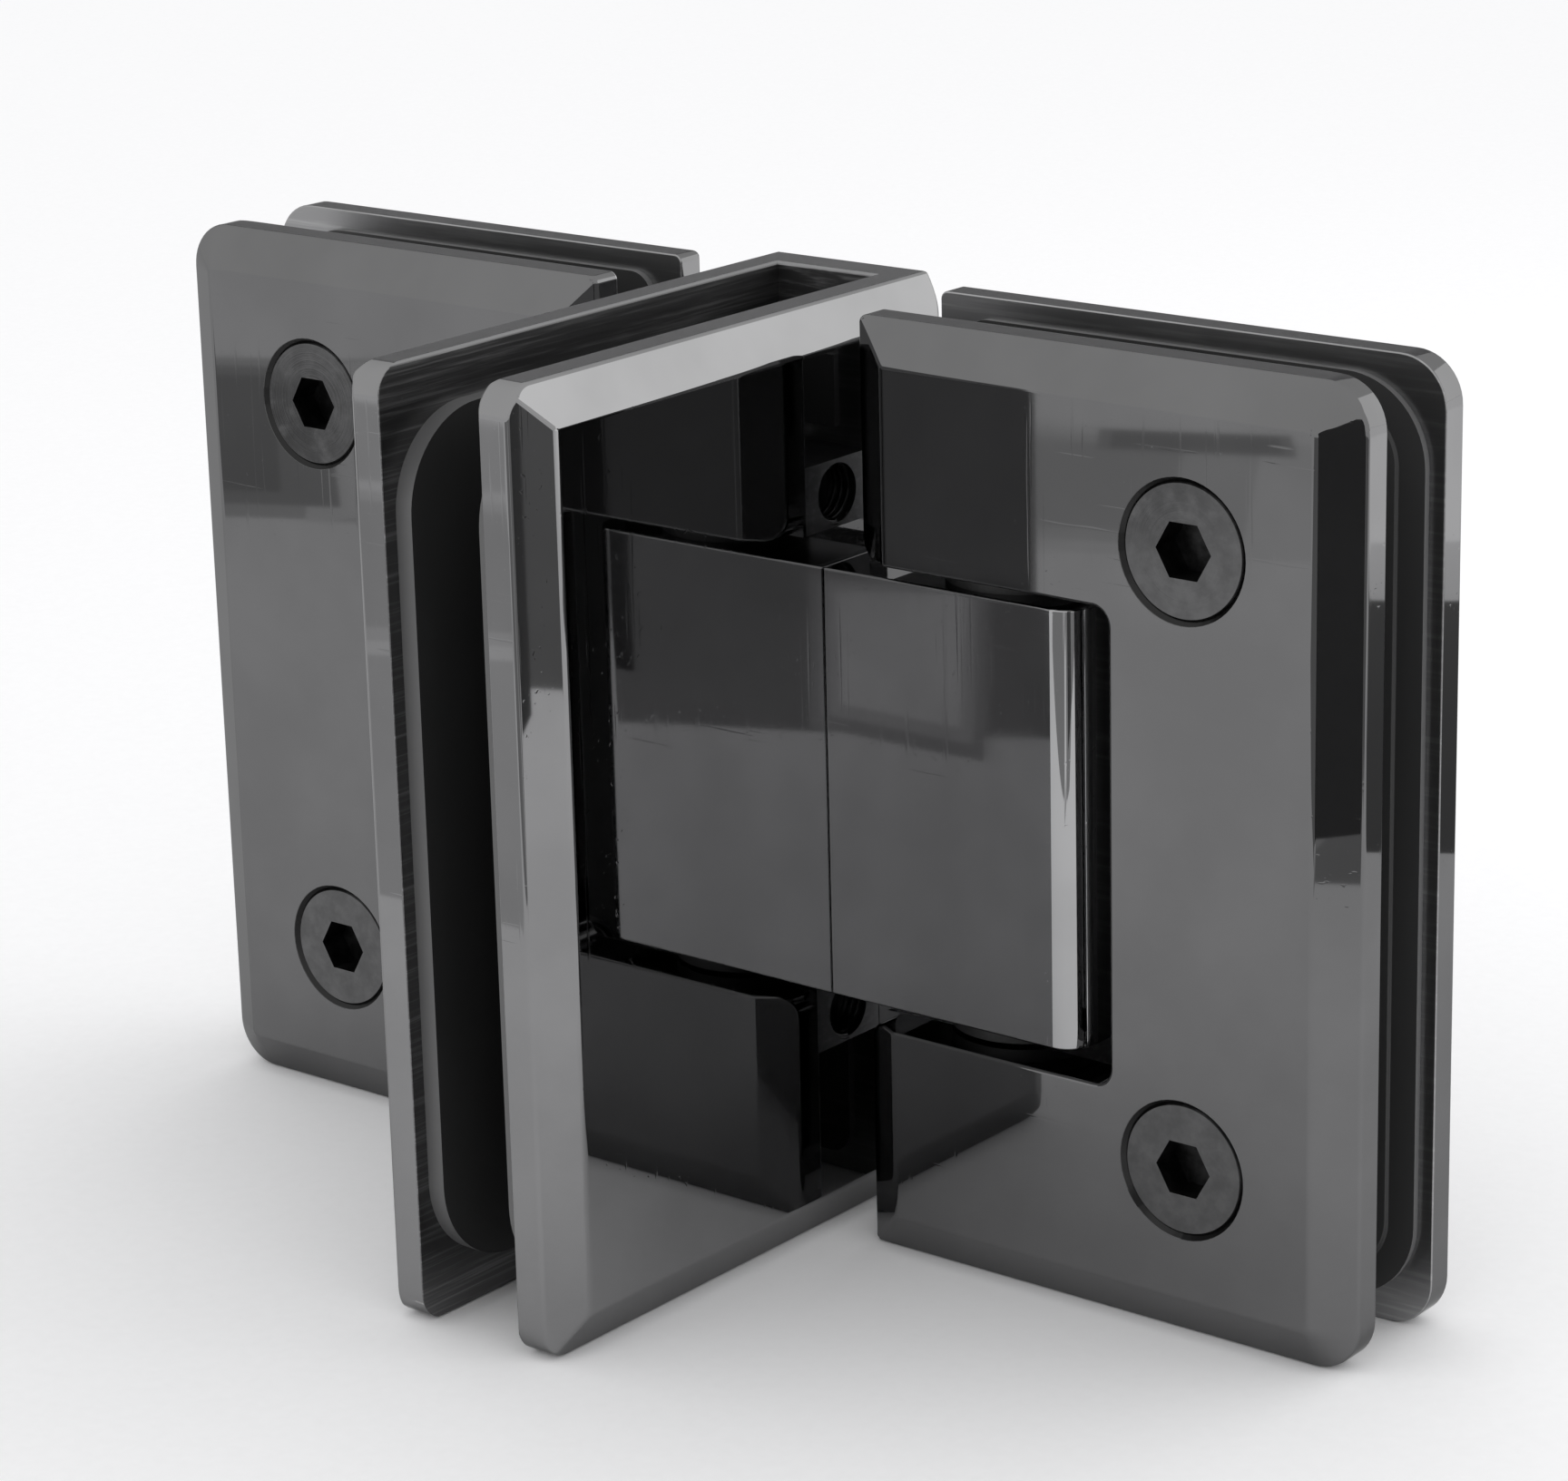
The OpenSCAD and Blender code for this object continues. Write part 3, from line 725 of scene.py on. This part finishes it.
class HelixTree:
    """The Geometry Nodes tree that winds a thread along the X axis of its points.

    Each point of the base mesh starts one thread. The thread's core radius, pitch, turns and tooth height are
    named inputs.
    """

    def __init__(self, name: str) -> None:
        """Builds the tree."""
        self.tree = bpy.data.node_groups.new(name, "GeometryNodeTree")
        face = self.tree.interface
        face.new_socket("Geometry", in_out="INPUT", socket_type="NodeSocketGeometry")
        for label in ("Radius", "Pitch", "Turns", "Tooth height"):
            face.new_socket(label, in_out="INPUT", socket_type="NodeSocketFloat")
        face.new_socket("Steps per turn", in_out="INPUT", socket_type="NodeSocketInt")
        face.new_socket("Direction", in_out="INPUT", socket_type="NodeSocketVector")
        face.new_socket("Finish", in_out="INPUT", socket_type="NodeSocketMaterial")
        face.new_socket("Geometry", in_out="OUTPUT", socket_type="NodeSocketGeometry")
        self._build()

    def _node(self, kind: str, **settings: Any) -> bpy.types.Node:
        """Adds a node with its settings."""
        node = self.tree.nodes.new(kind)
        for key, value in settings.items():
            setattr(node, key, value)
        return node

    def _link(self, *pairs: tuple[bpy.types.NodeSocket, bpy.types.NodeSocket]) -> None:
        """Links sockets in pairs."""
        for start, end in pairs:
            self.tree.links.new(start, end)

    def _build(self) -> None:
        """Fills the tree."""
        source = self._node("NodeGroupInput").outputs
        helix = self._node("GeometryNodeCurveSpiral")
        helix.inputs["Reverse"].default_value = False
        height = self._node("ShaderNodeMath", operation="MULTIPLY")
        self._link(
            (source["Steps per turn"], helix.inputs["Resolution"]),
            (source["Turns"], helix.inputs["Rotations"]),
            (source["Radius"], helix.inputs["Start Radius"]),
            (source["Radius"], helix.inputs["End Radius"]),
            (source["Pitch"], height.inputs[0]),
            (source["Turns"], height.inputs[1]),
            (height.outputs[0], helix.inputs["Height"]),
        )
        tooth = self._node("GeometryNodeCurvePrimitiveCircle", mode="RADIUS")
        tooth.inputs["Resolution"].default_value = 3
        self._link((source["Tooth height"], tooth.inputs["Radius"]))
        sweep = self._node("GeometryNodeCurveToMesh")
        sweep.inputs["Fill Caps"].default_value = True
        upright = self._node("GeometryNodeSetCurveNormal", mode="Z_UP")
        self._link(
            (helix.outputs[0], upright.inputs["Curve"]),
            (upright.outputs[0], sweep.inputs["Curve"]),
            (tooth.outputs[0], sweep.inputs["Profile Curve"]),
        )
        align = self._node("FunctionNodeAlignRotationToVector", axis="Z")
        self._link((source["Direction"], align.inputs["Vector"]))
        scatter = self._node("GeometryNodeInstanceOnPoints")
        real = self._node("GeometryNodeRealizeInstances")
        finish = self._node("GeometryNodeSetMaterial")
        target = self._node("NodeGroupOutput")
        self._link(
            (source["Geometry"], scatter.inputs["Points"]),
            (sweep.outputs[0], scatter.inputs["Instance"]),
            (align.outputs[0], scatter.inputs["Rotation"]),
            (scatter.outputs[0], real.inputs[0]),
            (real.outputs[0], finish.inputs["Geometry"]),
            (source["Finish"], finish.inputs["Material"]),
            (finish.outputs[0], target.inputs[0]),
        )

    def identifier(self, label: str) -> str:
        """The identifier of a named input."""
        return next(
            item.identifier
            for item in self.tree.interface.items_tree
            if item.item_type == "SOCKET" and item.in_out == "INPUT" and item.name == label
        )

    def wind(self, name: str, starts: Iterable[Point], values: dict[str, Any]) -> bpy.types.Object:
        """Winds one thread from each start and returns them as one plain mesh.

        Args:
            name: Name of the piece.
            starts: Where the threads start, in metres.
            values: The tree's named inputs.

        Returns:
            The finished object, at the origin.
        """
        base = bpy.data.meshes.new(name)
        base.from_pydata(list(starts), [], [])
        holder = bpy.data.objects.new(name + "_points", base)
        bpy.context.collection.objects.link(holder)
        modifier = holder.modifiers.new("thread", "NODES")
        modifier.node_group = self.tree
        for label, value in values.items():
            modifier[self.identifier(label)] = value
        holder.update_tag()
        graph = bpy.context.evaluated_depsgraph_get()
        mesh = bpy.data.meshes.new_from_object(holder.evaluated_get(graph), depsgraph=graph)
        bpy.data.objects.remove(holder)
        mesh.name = name
        piece = bpy.data.objects.new(name, mesh)
        bpy.context.collection.objects.link(piece)
        return piece


# ---------------------------------------------------------------- sub-assemblies


@dataclass(frozen=True)
class ChannelSizes:
    """Sizes of the centre channel, in metres."""

    slot_half: float = 5.85 * MM
    slot_end: float = 7.4 * MM
    mouth: float = -47.8 * MM
    rear: float = 11.45 * MM
    land: float = 9.05 * MM
    gasket_corner_y: float = 37.3 * MM
    gasket_corner_z: float = 31.4 * MM
    gasket_corner: float = 9 * MM
    knuckle_half_height: float = 21.0 * MM
    knuckle_half_depth: float = 7.9 * MM


@dataclass
class CentreChannel:
    """The channel for the fixed panel, with its two gaskets.

    The slot's mouth has a chamfer, and its edges get a share of the rounding.
    """

    nodes: dict[str, bpy.types.Object]
    finishes: Finishes
    sizes: ChannelSizes
    softener: Softener
    chamfer: float = 0.5 * MM
    mouth_share: float = 0.4

    def _share(self, place: Vector) -> float:
        """How far an edge of the channel is rounded."""
        s = self.sizes
        across = abs(place.x)
        if across < s.slot_half + self.chamfer:
            return self.mouth_share if place.y < s.mouth + SLACK else 0.0
        if across > s.land - SLACK or place.y > s.rear - SLACK:
            beside_knuckle = abs(place.z) < s.knuckle_half_height and abs(place.y) < s.knuckle_half_depth
            return 0.0 if beside_knuckle else 1.0
        return 0.0

    def build(self) -> None:
        """Dresses the channel and its gaskets."""
        node = self.nodes["centre_channel"]
        shell = self.softener.build(node, "channel_shell", self.finishes.channel, self._share)
        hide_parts("centre_channel")
        seat(shell, Body.CENTRE)
        for side in Side:
            paint(self.nodes[f"channel_gasket_{side.label}"], self.finishes.channel_gasket)
        LOG.info("dressed the channel and its gaskets")


@dataclass
class KnuckleUnit:
    """A knuckle with its screws, bushes and centring plungers.

    Attributes:
        bore: Edges nearer to the pin's axis than this stay sharp, in metres.
        edge_share: Share of the rounding on the other edges.
    """

    nodes: dict[str, bpy.types.Object]
    finishes: Finishes
    softener: Softener
    side: Side
    top: float = 20.85 * MM
    half_thickness: float = 8.0 * MM
    pin_x: float = 28.0 * MM
    bore: float = 7.4 * MM
    edge_share: float = 0.7

    def _share(self, place: Vector) -> float:
        """How far an edge of the knuckle is rounded."""
        if abs(place.z) < self.top - SLACK and abs(place.y) < self.half_thickness - 0.5 * SLACK:
            return 0.0
        near_pin = math.hypot(abs(place.x) - self.pin_x, place.y) < self.bore
        return 0.0 if near_pin else self.edge_share

    def build(self) -> None:
        """Dresses the knuckle and what it holds."""
        f = self.finishes
        name = f"{self.side.label}_knuckle"
        block = self.softener.build(self.nodes[name], name + "_block", f.knuckle, self._share)
        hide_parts(name)
        seat(block, Body.CENTRE)
        for part, material in (
            ("knuckle_screws", f.black_steel),
            ("upper_bush", f.bush),
            ("lower_bush", f.bush),
            ("plungers", f.pin),
            ("plunger_springs", f.spring),
        ):
            paint(self.nodes[f"{self.side.label}_{part}"], material)
        LOG.info("dressed the %s knuckle", self.side.label)


@dataclass(frozen=True)
class LeafSizes:
    """Sizes of a leaf, on the right side, in metres.

    The holes are those of the grub screws; the screws are the clamp screws.
    """

    near_end: float = 15.6 * MM
    slot_half: float = 4.7 * MM
    land: float = 7.6 * MM
    boss_mid: float = 25.65 * MM
    boss_reach: float = 40.0 * MM
    boss_foot: float = 0.6 * MM
    hole_radius: float = 2.85 * MM
    hole_pitch: float = 0.8 * MM
    screw_pitch: float = 1.0 * MM
    screw_x: float = 52.1 * MM
    screw_z: float = 28.6 * MM
    screw_radius: float = 3.0 * MM
    screw_hole: float = 7.2 * MM
    face_y: float = 9.7 * MM
    head_y: float = 9.4 * MM
    head_radius: float = 6.05 * MM
    socket_radius: float = 2.95 * MM
    gasket_corner_x: float = 60.0 * MM
    gasket_corner_z: float = 35.0 * MM
    gasket_corner: float = 8.0 * MM


@dataclass
class LeafClamp:
    """A leaf: two plates over the glass, with the pin, the screws and the gaskets.

    Attributes:
        inner_share: Share of the rounding on the edges towards the glass.
        thread_inset: How far inside its hole or slot a thread starts, in metres.
    """

    nodes: dict[str, bpy.types.Object]
    finishes: Finishes
    helix: HelixTree
    softener: Softener
    side: Side
    sizes: LeafSizes
    inner_share: float = 0.5
    thread_inset: float = 0.3 * MM

    def _share(self, place: Vector, outwards: float) -> float:
        """How far an edge of a plate is rounded.

        Args:
            place: Where the edge's end is.
            outwards: The sign of Y on the plate's outside.

        Returns:
            The share of the softener's width.
        """
        s = self.sizes
        depth = place.y * outwards
        near_screw = math.hypot(abs(place.x) - s.screw_x, abs(place.z) - s.screw_z) < s.screw_hole
        near_boss = outwards < 0.0 and abs(place.x) < s.boss_reach and depth < s.slot_half + s.boss_foot
        if depth < s.slot_half - SLACK or near_screw or near_boss:
            return 0.0
        return 1.0 if depth > s.land - SLACK else self.inner_share

    def build(self) -> None:
        """Dresses the leaf's nodes and adds the threads."""
        f = self.finishes
        for part, outwards in (("front_plate", -1.0), ("rear_plate", 1.0)):
            name = f"{self.side.label}_{part}"
            shell = self.softener.build(
                self.nodes[name], name + "_shell", f.leaf, partial(self._share, outwards=outwards)
            )
            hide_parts(name)
            seat(shell, leaf_body(self.side))
        for part, material in (
            ("front_gasket", f.leaf_gasket),
            ("rear_gasket", f.leaf_gasket),
            ("pin", f.pin),
            ("pin_grub_screws", f.black_steel),
            ("clamp_screws", f.screw),
        ):
            paint(self.nodes[f"{self.side.label}_{part}"], material)
        self._hole_threads()
        self._shank_threads()
        LOG.info("dressed the %s leaf", self.side.label)

    def _hole_threads(self) -> None:
        """Threads in the mouths of the two grub screw holes."""
        s = self.sizes
        starts = [(self.side.x(s.near_end + self.thread_inset), 0.0, z * s.boss_mid) for z in (1, -1)]
        piece = self.helix.wind(
            f"{self.side.label}_hole_threads",
            starts,
            {
                "Radius": s.hole_radius,
                "Pitch": s.hole_pitch,
                "Turns": 3.6,
                "Tooth height": 0.42 * MM,
                "Steps per turn": 40,
                "Direction": (self.side.x(1.0), 0.0, 0.0),
                "Finish": self.finishes.thread,
            },
        )
        seat(piece, leaf_body(self.side))

    def _shank_threads(self) -> None:
        """Threads on the clamp screws, where they cross the slot."""
        s = self.sizes
        starts = [(self.side.x(s.screw_x), -s.slot_half + self.thread_inset, z * s.screw_z) for z in (1, -1)]
        piece = self.helix.wind(
            f"{self.side.label}_screw_threads",
            starts,
            {
                "Radius": s.screw_radius,
                "Pitch": s.screw_pitch,
                "Turns": 8.8,
                "Tooth height": 0.3 * MM,
                "Steps per turn": 36,
                "Direction": (0.0, 1.0, 0.0),
                "Finish": self.finishes.thread,
            },
        )
        seat(piece, leaf_body(self.side))


# ---------------------------------------------------------------- studio and camera


@dataclass(frozen=True)
class CameraFit:
    """The photograph's camera, fitted to points of the hinge.

    Attributes:
        focal_pixels: Focal length, in pixels of the photograph.
        width_pixels: The photograph's width.
        elevation: How far the camera looks down, in degrees.
        roll: How far it is rolled, in degrees.
        azimuth: Where it stands, in degrees from -Y towards +X.
        across: How far right of the photograph's middle the hinge's origin lies, in millimetres.
        upwards: How far above its middle the origin lies, in millimetres.
        away: The camera's distance, in millimetres.
    """

    focal_pixels: float = 5232.17
    width_pixels: float = 1728.0
    elevation: float = 16.966
    roll: float = -1.44
    azimuth: float = 39.276
    across: float = 0.378
    upwards: float = -0.217
    away: float = 455.492

    def axes(self) -> tuple[Vector, Vector, Vector]:
        """The camera's right, up and backward directions."""
        a, e, r = (math.radians(v) for v in (self.azimuth, self.elevation, self.roll))
        back = Vector((math.sin(a) * math.cos(e), -math.cos(a) * math.cos(e), math.sin(e)))
        right = Vector((math.cos(a), math.sin(a), 0.0))
        up = back.cross(right)
        return (
            right * math.cos(r) + up * math.sin(r),
            up * math.cos(r) - right * math.sin(r),
            back,
        )

    def build(self) -> bpy.types.Object:
        """Makes the camera and sets it as the scene's."""
        right, up, back = self.axes()
        data = bpy.data.cameras.new("photo_camera")
        data.sensor_fit = "HORIZONTAL"
        data.lens = self.focal_pixels * data.sensor_width / self.width_pixels
        data.clip_start = 0.01
        camera = bpy.data.objects.new("photo_camera", data)
        spot = (back * self.away - right * self.across - up * self.upwards) * MM
        camera.matrix_world = Matrix.Translation(spot) @ Matrix((right, up, back)).transposed().to_4x4()
        bpy.context.collection.objects.link(camera)
        bpy.context.scene.camera = camera
        return camera


@dataclass(frozen=True)
class SoftBox:
    """A soft light panel that looks at the hinge.

    Attributes:
        name: The lamp's name.
        azimuth: Where it stands, in degrees from -Y towards +X.
        distance: How far from the hinge it stands, in metres.
        height: Height of its middle above the origin, in metres.
        width: Its width, in metres.
        depth: Its height or depth, in metres.
        level: How bright its face looks, where 1 is white.
        aim_share: The share of its height that it looks at.
    """

    name: str
    azimuth: float
    distance: float
    height: float
    width: float
    depth: float
    level: float
    aim_share: float = 0.35

    def build(self) -> None:
        """Makes the lamp."""
        data = bpy.data.lights.new(self.name, "AREA")
        data.shape = "RECTANGLE"
        data.size, data.size_y = self.width, self.depth
        data.energy = self.level * math.pi * self.width * self.depth
        lamp = bpy.data.objects.new(self.name, data)
        a = math.radians(self.azimuth)
        spot = Vector((math.sin(a) * self.distance, -math.cos(a) * self.distance, self.height))
        aim = Vector((0.0, 0.0, self.height * self.aim_share))
        lamp.rotation_euler = (aim - spot).to_track_quat("-Z", "Y").to_euler()
        lamp.location = spot
        lamp.visible_camera = False
        bpy.context.collection.objects.link(lamp)


@dataclass(frozen=True)
class Card:
    """A matt card of the studio, seen only in reflections: a painted reflection, which lights nothing and casts no
    shadow.

    Attributes:
        name: The card's name.
        shade: Its grey.
        corners: Its corners, in millimetres.
    """

    name: str
    shade: float
    corners: tuple[Point, ...]


def floor_card(name: str, shade: float, *corners: tuple[float, float], lift: float = 0.0) -> Card:
    """A card that lies just above the floor, from its corners' X and Y in millimetres."""
    return Card(name, shade, tuple((x, y, CARD_Z + lift) for x, y in corners))


def soft_card(
    name: str, shades: Sequence[float], *corners: tuple[float, float], lift: float = 0.0
) -> tuple[Card, ...]:
    """A floor card whose edge fades: smaller cards of the next shades lie on it.

    Args:
        name: The card's name.
        shades: The greys, from the edge inwards.
        corners: The outermost outline, in millimetres.
        lift: Height above the other floor cards.

    Returns:
        The cards, the largest first.
    """
    middle = [sum(values) / len(corners) for values in zip(*corners)]
    cards = []
    for number, shade in enumerate(shades):
        share = 1.0 - CARD_STEP * number
        outline = [tuple(m + (c - m) * share for c, m in zip(corner, middle)) for corner in corners]
        cards.append(floor_card(f"{name}_{number}", shade, *outline, lift=lift + CARD_LAYER * number))
    return tuple(cards)


@dataclass(frozen=True)
class Studio:
    """A pale floor, a white surrounding, soft light panels and a few cards that only the polish shows, as painted
    reflections.

    Lengths are in metres. The surround is how bright the world is, where 1 is white. A card is named for the part of
    the hinge that shows it, or for where it lies.
    """

    floor_z: float = -45.02 * MM
    floor_half: float = 4.0
    floor_grey: float = 0.95
    surround: float = 1.0
    panels: tuple[SoftBox, ...] = (
        SoftBox("back_right_panel", 141.0, 0.42, 0.16, 0.50, 0.26, 0.85),
        SoftBox("low_right_panel", 137.0, 0.33, -0.005, 0.50, 0.08, 0.9),
    )
    # painted reflections: grey cards that only glossy rays see, shaded and placed to give the polish its dark and
    # light bands
    cards: tuple[Card, ...] = (
        floor_card(
            "front_card", 0.34, (-40, -214), (141, -122), (188, -124), (300, -64), (520, -140), (480, -480), (0, -480)
        ),
        *soft_card("strip_card", (0.5, 0.7, 0.95), (88, -136), (116, -136), (166, -198), (142, -210), lift=0.2),
        floor_card("side_card", 0.2, (220, -58), (226, -92), (430, -130), (430, -75), lift=0.1),
        floor_card("arm_card", 0.62, (120, -210), (172, -210), (285, -345), (218, -345), lift=0.1),
        floor_card("mouth_card", 0.66, (-101, -135), (-66, -135), (-239, -322), (-285, -322), lift=-0.2),
        Card("bevel_card", 0.09, ((80, -60, -12.9), (106, -60, -12.9), (106, -60, 52), (80, -60, 52))),
        *soft_card("left_card", (0.6, 0.42, 0.33), (-338, -127), (-212, -188), (-296, -270), (-412, -207)),
        *soft_card("middle_card", (0.85, 0.72, 0.6), (-225, -180), (-85, -246), (-122, -308), (-305, -266)),
        # painted reflection: a small darker patch in the polish of the right leaf's front face
        *soft_card("smudge_card", (0.5, 0.4), (-150, -284), (-122, -297), (-131, -309), (-158, -296), lift=0.5),
        floor_card("right_card", 0.16, (46, 180), (250, 53), (310, 149), (106, 276)),
        Card("back_card", 0.42, ((-60, 560, 40), (-60, 560, 330), (-600, 230, 330), (-600, 230, 40))),
    )

    def build(self) -> None:
        """Makes the floor, the world, the lamps and the cards."""
        scene = bpy.context.scene
        scene.view_settings.view_transform = "Standard"
        world = bpy.data.worlds.new("white_studio")
        world.use_nodes = True
        background = next(n for n in world.node_tree.nodes if n.type == "BACKGROUND")
        background.inputs["Color"].default_value = (1.0, 1.0, 1.0, 1.0)
        background.inputs["Strength"].default_value = self.surround
        scene.world = world
        side, level = self.floor_half / MM, self.floor_z / MM
        corners = ((-side, -side, level), (side, -side, level), (side, side, level), (-side, side, level))
        self._sheet(Card("floor", self.floor_grey, corners))
        for card in self.cards:
            sheet = self._sheet(card)
            # the cards are painted reflections: the camera doesn't see them, and they light and shade nothing
            sheet.visible_camera = sheet.visible_diffuse = sheet.visible_shadow = False
        for panel in self.panels:
            panel.build()

    def _sheet(self, card: Card) -> bpy.types.Object:
        """Makes a flat sheet of matt paper."""
        mesh = bmesh.new()
        mesh.faces.new([mesh.verts.new(Vector(corner) * MM) for corner in card.corners])
        data = bpy.data.meshes.new(card.name)
        mesh.to_mesh(data)
        mesh.free()
        sheet = bpy.data.objects.new(card.name, data)
        bpy.context.collection.objects.link(sheet)
        material, g, shader = new_material(card.name + "_paper")
        fibre = g.noise(g.place(), 900.0, 3.0)
        g.put(shader.inputs["Base Color"], g.colour_mix(fibre, grey(card.shade * 0.98), grey(card.shade * 1.02)))
        shader.inputs["Roughness"].default_value = 0.95
        shader.inputs["Specular IOR Level"].default_value = 0.0
        data.materials.append(material)
        return sheet


def main() -> None:
    """Builds the whole scene in order and reports each piece."""
    logging.basicConfig(level=logging.INFO, format="%(name)s: %(message)s")
    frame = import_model()
    nodes = frame["nodes"]
    CameraFit().build()
    Studio().build()
    channel, leaf = ChannelSizes(), LeafSizes()
    finishes = Finishes(channel, leaf)
    helix = HelixTree("screw_thread")
    softener = Softener()
    CentreChannel(nodes, finishes, channel, softener).build()
    for side in Side:
        KnuckleUnit(nodes, finishes, softener, side).build()
        LeafClamp(nodes, finishes, helix, softener, side, leaf).build()


if __name__ == "__main__":
    main()
